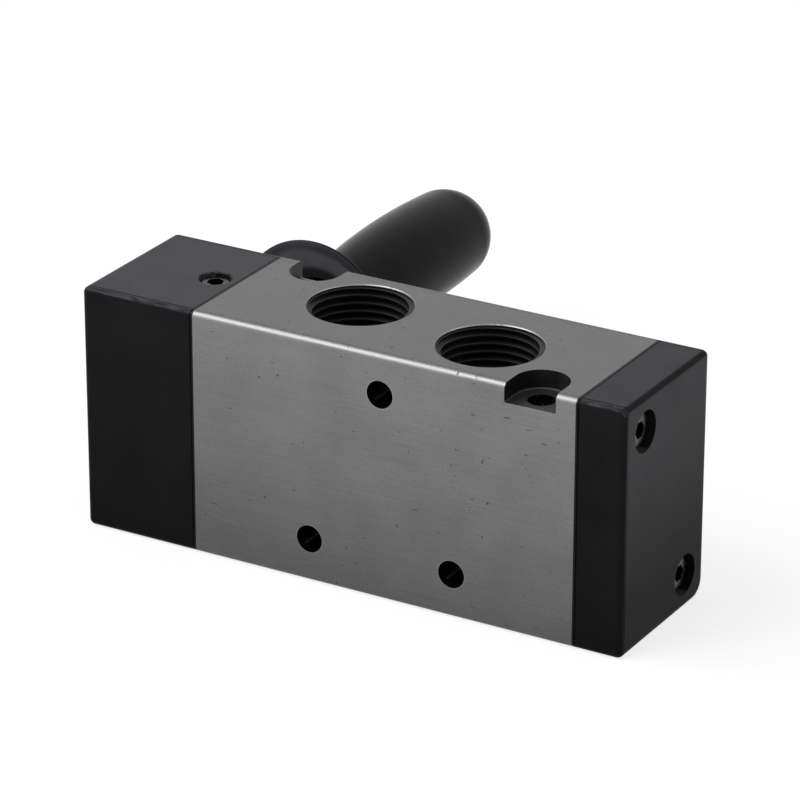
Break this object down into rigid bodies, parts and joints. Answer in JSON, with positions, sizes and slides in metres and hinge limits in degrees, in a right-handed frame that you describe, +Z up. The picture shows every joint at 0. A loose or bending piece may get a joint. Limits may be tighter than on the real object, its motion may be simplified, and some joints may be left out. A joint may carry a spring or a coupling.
{
  "type": "hand lever air valve",
  "caption": "Manual spool valve for compressed air: ported metal bar between a lever block and an end cover, with a sideways hand lever on a ball pivot and a detent.",
  "frame": {"origin": "centre of the supply port's mouth, in the underside of the valve body", "axes": "+X along the spool towards the end cover, +Y out along the lever, +Z up"},
  "size_m": [0.0964, 0.1, 0.0405],
  "materials": {
    "body_metal": "fine matt anodised",
    "black_metal": "matt black over die-cast zinc",
    "screw_steel": "black oxide",
    "bright_steel": "hardened and polished",
    "spring_steel": "drawn wire",
    "spool_metal": "hard anodised, polished",
    "seal_rubber": "moulded nitrile",
    "seat_plastic": "moulded acetal",
    "brass": "turned",
    "grip_plastic": "moulded phenolic"
  },
  "bodies": {
    "valve": {"valve_body": "body_metal", "lever_block": "black_metal", "end_cover": "black_metal", "lever_block_screws": "screw_steel", "end_cover_screws": "screw_steel", "lever_block_seal": "seal_rubber", "end_cover_seal": "seal_rubber", "pivot_housing": "screw_steel", "inner_ball_seat": "seat_plastic", "outer_ball_seat": "seat_plastic", "seat_nut": "brass", "detent_screw": "screw_steel", "detent_spring": "spring_steel"},
    "lever": {"lever_rod": "bright_steel", "lever_handle": "grip_plastic", "handle_insert": "brass", "lock_nut": "screw_steel"},
    "sliding_spool": {"spool": "spool_metal", "spool_seal_1": "seal_rubber", "spool_seal_2": "seal_rubber", "spool_seal_3": "seal_rubber", "spool_seal_4": "seal_rubber", "spool_seal_5": "seal_rubber", "spool_seal_6": "seal_rubber"},
    "detent": {"detent_ball": "bright_steel"}
  },
  "joints": [
    {"name": "lever_swing", "type": "hinge", "parent": "valve", "child": "lever", "pos_m": [-0.04135, 0.024, 0.02025], "axis": [0, 0, 1], "range_deg": [-8, 8]},
    {"name": "spool_slide", "type": "slide", "parent": "valve", "child": "sliding_spool", "axis": [1, 0, 0], "range_m": [-0.0036, 0.0036]},
    {"name": "detent_ball_slide", "type": "slide", "parent": "valve", "child": "detent", "axis": [0, 0, 1], "range_m": [-0.0005, 0], "deforming": ["detent_spring"]}
  ],
  "couplings": [
    {"joint": "spool_slide", "follows": "lever_swing", "m_per_rad": 0.024}
  ]
}
